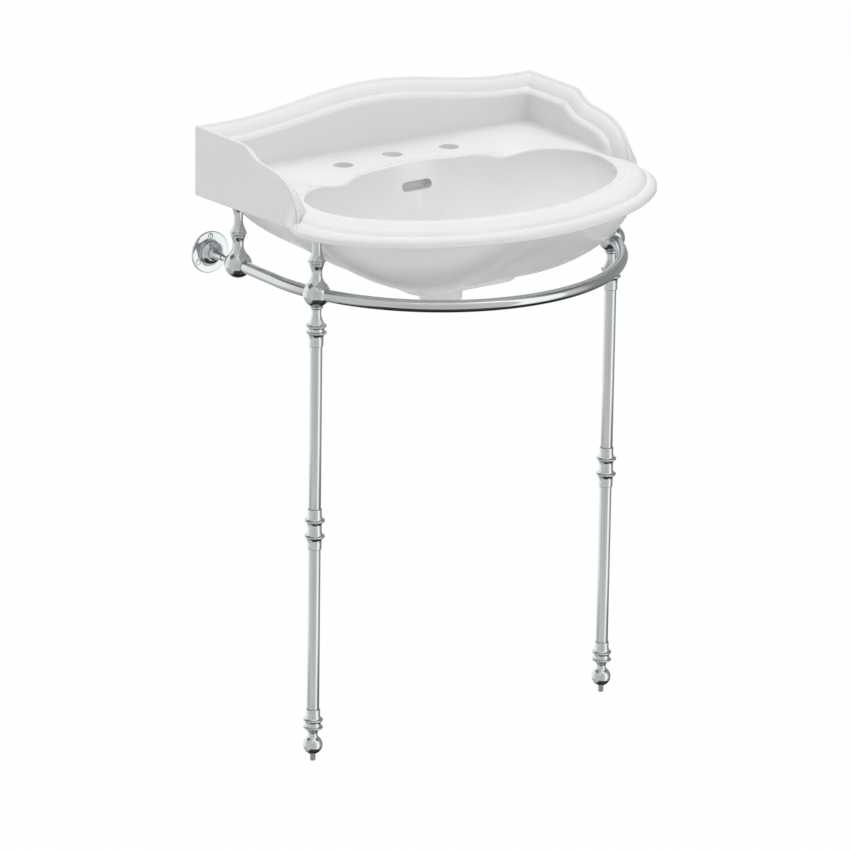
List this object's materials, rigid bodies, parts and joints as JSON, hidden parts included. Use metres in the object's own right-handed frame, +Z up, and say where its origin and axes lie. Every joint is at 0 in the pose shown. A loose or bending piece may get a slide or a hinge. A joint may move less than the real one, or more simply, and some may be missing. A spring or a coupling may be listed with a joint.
{
  "type": "washbasin with stand",
  "caption": "Glazed washbasin with a moulded upstand and overflow, on a chromed tubular stand with a towel rail, turned collars, ball feet and wall arms.",
  "frame": {"origin": "middle of the floor under the object, half way between the wall and the rim's front", "axes": "+Z up, -Y towards the user, +Y into the wall, +X to the user's right"},
  "size_m": [0.649, 0.494, 0.985],
  "materials": {
    "glazed_china": "glossy white glaze",
    "chrome": "bright chrome plate on brass",
    "black_rubber": "matt black rubber",
    "plain_steel": "plain steel thread"
  },
  "bodies": {
    "basin_and_stand": {"basin": "glazed_china", "ball_front_left": "chrome", "spindle_front_left": "chrome", "spindle_stud_front_left": "plain_steel", "washer_front_left": "black_rubber", "ball_front_right": "chrome", "spindle_front_right": "chrome", "spindle_stud_front_right": "plain_steel", "washer_front_right": "black_rubber", "ball_rear_left": "chrome", "spindle_rear_left": "chrome", "spindle_stud_rear_left": "plain_steel", "washer_rear_left": "black_rubber", "ball_rear_right": "chrome", "spindle_rear_right": "chrome", "spindle_stud_rear_right": "plain_steel", "washer_rear_right": "black_rubber", "top_collar_left": "chrome", "collar_stud_left": "plain_steel", "upper_tube_left": "chrome", "mid_collar_left": "chrome", "lower_tube_left": "chrome", "foot_left": "chrome", "rail_left": "chrome", "wall_flange_left": "chrome", "arm_nut_left": "chrome", "wall_arm_left": "chrome", "flange_screw_left_1": "chrome", "flange_screw_left_2": "chrome", "flange_screw_left_3": "chrome", "top_collar_right": "chrome", "collar_stud_right": "plain_steel", "upper_tube_right": "chrome", "mid_collar_right": "chrome", "lower_tube_right": "chrome", "foot_right": "chrome", "rail_right": "chrome", "wall_flange_right": "chrome", "arm_nut_right": "chrome", "wall_arm_right": "chrome", "flange_screw_right_1": "chrome", "flange_screw_right_2": "chrome", "flange_screw_right_3": "chrome", "rail_front": "chrome"},
    "levelling_stud_left": {"levelling_stud_left": "plain_steel"},
    "levelling_stud_right": {"levelling_stud_right": "plain_steel"}
  },
  "joints": [
    {"name": "levelling_left", "type": "slide", "parent": "basin_and_stand", "child": "levelling_stud_left", "axis": [0, 0, 1], "range_m": [-0.012, 0]},
    {"name": "levelling_right", "type": "slide", "parent": "basin_and_stand", "child": "levelling_stud_right", "axis": [0, 0, 1], "range_m": [-0.012, 0]}
  ]
}
